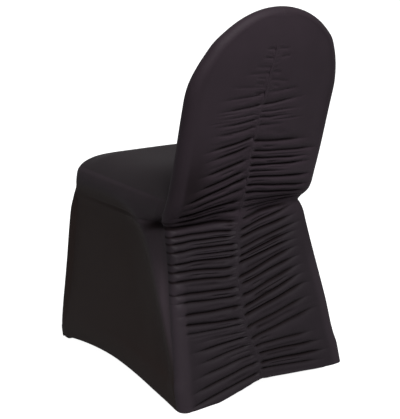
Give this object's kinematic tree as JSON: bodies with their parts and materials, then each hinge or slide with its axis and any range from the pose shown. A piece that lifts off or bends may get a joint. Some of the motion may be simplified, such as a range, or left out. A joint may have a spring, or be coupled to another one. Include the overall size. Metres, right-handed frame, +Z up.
{
  "type": "chair cover",
  "caption": "Fitted stretch-cloth cover for a round-topped banquet chair, with a gathered centre seam down the rear, a draped seat and a skirt to the floor with foot pockets.",
  "frame": {"origin": "centre of the overall box at floor level", "axes": "+Z up, +Y to the rear of the chair, where the gathered seam is, +X to the left of a person who sits on it"},
  "size_m": [0.5042, 0.5851, 0.9034],
  "materials": {
    "front_panel": "satin stretch knit",
    "rear_panel_left": "satin stretch knit",
    "rear_panel_right": "satin stretch knit",
    "side_panel_left": "satin stretch knit",
    "side_panel_right": "satin stretch knit",
    "foot_pocket_front_left": "satin stretch knit",
    "foot_pocket_front_right": "satin stretch knit",
    "foot_pocket_rear_left": "satin stretch knit",
    "foot_pocket_rear_right": "satin stretch knit"
  },
  "bodies": {
    "root": {"front_panel": "front_panel", "rear_panel_left": "rear_panel_left", "rear_panel_right": "rear_panel_right", "side_panel_left": "side_panel_left", "side_panel_right": "side_panel_right", "foot_pocket_front_left": "foot_pocket_front_left", "foot_pocket_front_right": "foot_pocket_front_right", "foot_pocket_rear_left": "foot_pocket_rear_left", "foot_pocket_rear_right": "foot_pocket_rear_right"}
  },
  "joints": []
}
